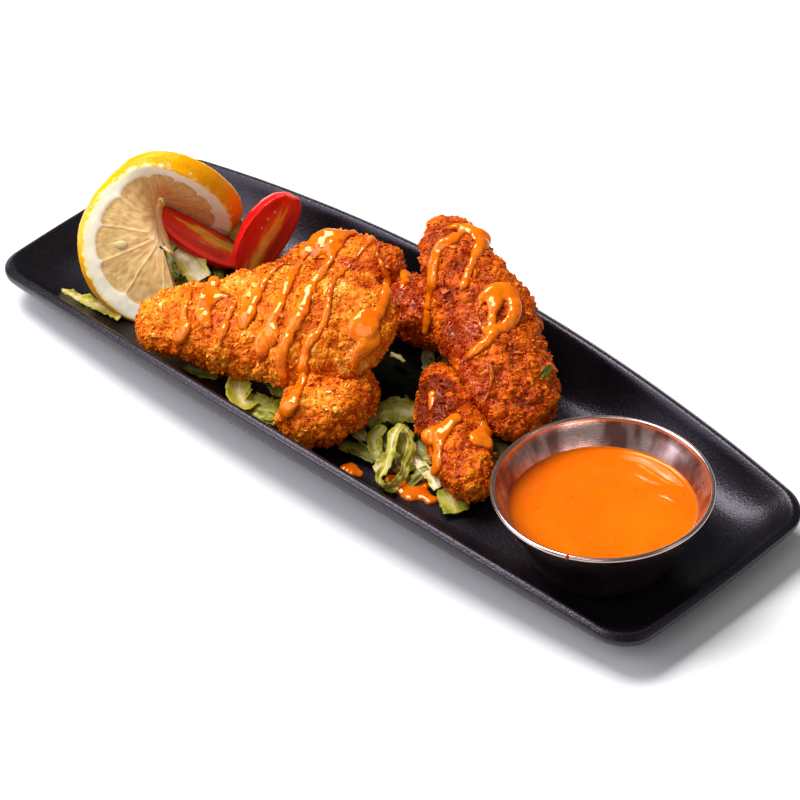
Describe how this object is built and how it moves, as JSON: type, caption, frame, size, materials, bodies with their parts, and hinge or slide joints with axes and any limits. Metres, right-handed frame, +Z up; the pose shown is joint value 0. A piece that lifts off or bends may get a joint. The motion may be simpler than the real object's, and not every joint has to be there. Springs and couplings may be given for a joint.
{
  "type": "plate of chicken fingers",
  "caption": "Long black plate of breaded chicken fingers drizzled with orange sauce, with lettuce, tomato wedges, a twisted lemon slice and a steel cup of dip.",
  "frame": {"origin": "centre of the plate's flat underside, on the surface it stands on", "axes": "+X along the plate towards the sauce cup, +Y across it towards the back long side, +Z up"},
  "size_m": [0.2878, 0.106, 0.0539],
  "materials": {
    "plate": "satin black glaze with a fine pitted texture",
    "crust": "rough golden-brown fried breadcrumb crust with glossy orange sauce",
    "lemon": "waxy yellow rind, white pith and moist translucent pulp",
    "tomato": "glossy red skin and moist cut faces",
    "lettuce": "pale green moist leaf shreds",
    "steel": "satin stainless steel with a rolled rim",
    "sauce": "glossy opaque orange sauce with fine dark specks"
  },
  "bodies": {
    "root": {"plate": "plate", "finger_front": "crust", "finger_back": "crust", "finger_low_front": "crust", "finger_right": "crust", "finger_middle": "crust", "finger_low_right": "crust", "lemon_twist": "lemon", "tomato_wedge_left": "tomato", "tomato_wedge_right": "tomato", "lettuce_bed": "lettuce", "sauce_cup": "steel", "dip_sauce": "sauce"}
  },
  "joints": []
}
